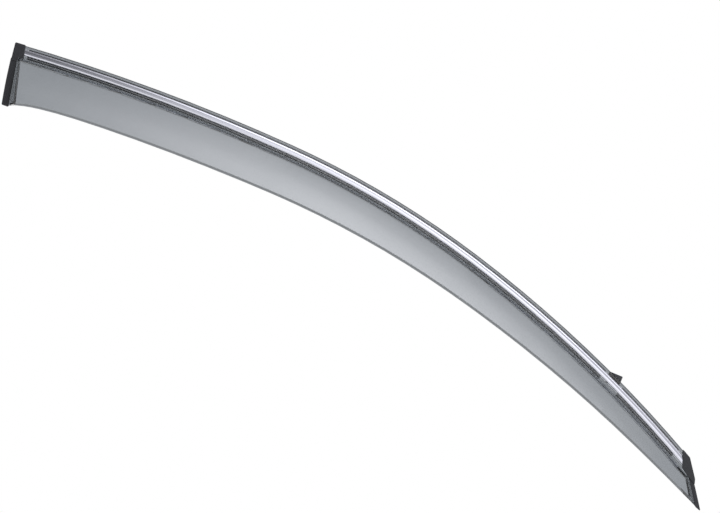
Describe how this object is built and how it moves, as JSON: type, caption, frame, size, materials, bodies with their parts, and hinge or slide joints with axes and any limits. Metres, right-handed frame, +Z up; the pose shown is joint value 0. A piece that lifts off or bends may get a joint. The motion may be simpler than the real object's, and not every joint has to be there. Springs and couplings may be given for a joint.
{
  "type": "window rain deflector",
  "caption": "Curved smoke-tinted rain deflector for a car's front side window, with a bright trim strip, black end caps, a clip tab and adhesive tape behind its flange.",
  "frame": {"origin": "on the face that meets the door, on the tape's centre line half-way along the upper edge", "axes": "as fitted to the car: +X to the front of the car, +Y inboard into the door, +Z up"},
  "size_m": [0.9009, 0.0315, 0.3081],
  "materials": {
    "tinted_acrylic": "polished moulded acrylic with a smoke tint",
    "bright_steel": "bright rolled stainless steel",
    "black_plastic": "satin moulded plastic",
    "black_steel": "black-coated spring steel",
    "foam_tape": "black acrylic foam",
    "release_film": "red release film"
  },
  "bodies": {
    "root": {"visor_blade": "tinted_acrylic", "trim_strip": "bright_steel", "rear_end_cap": "black_plastic", "front_end_cap": "black_plastic", "clip_tab": "black_steel", "rear_tape": "foam_tape", "front_tape": "foam_tape", "rear_tape_liner": "release_film", "front_tape_liner": "release_film"}
  },
  "joints": []
}
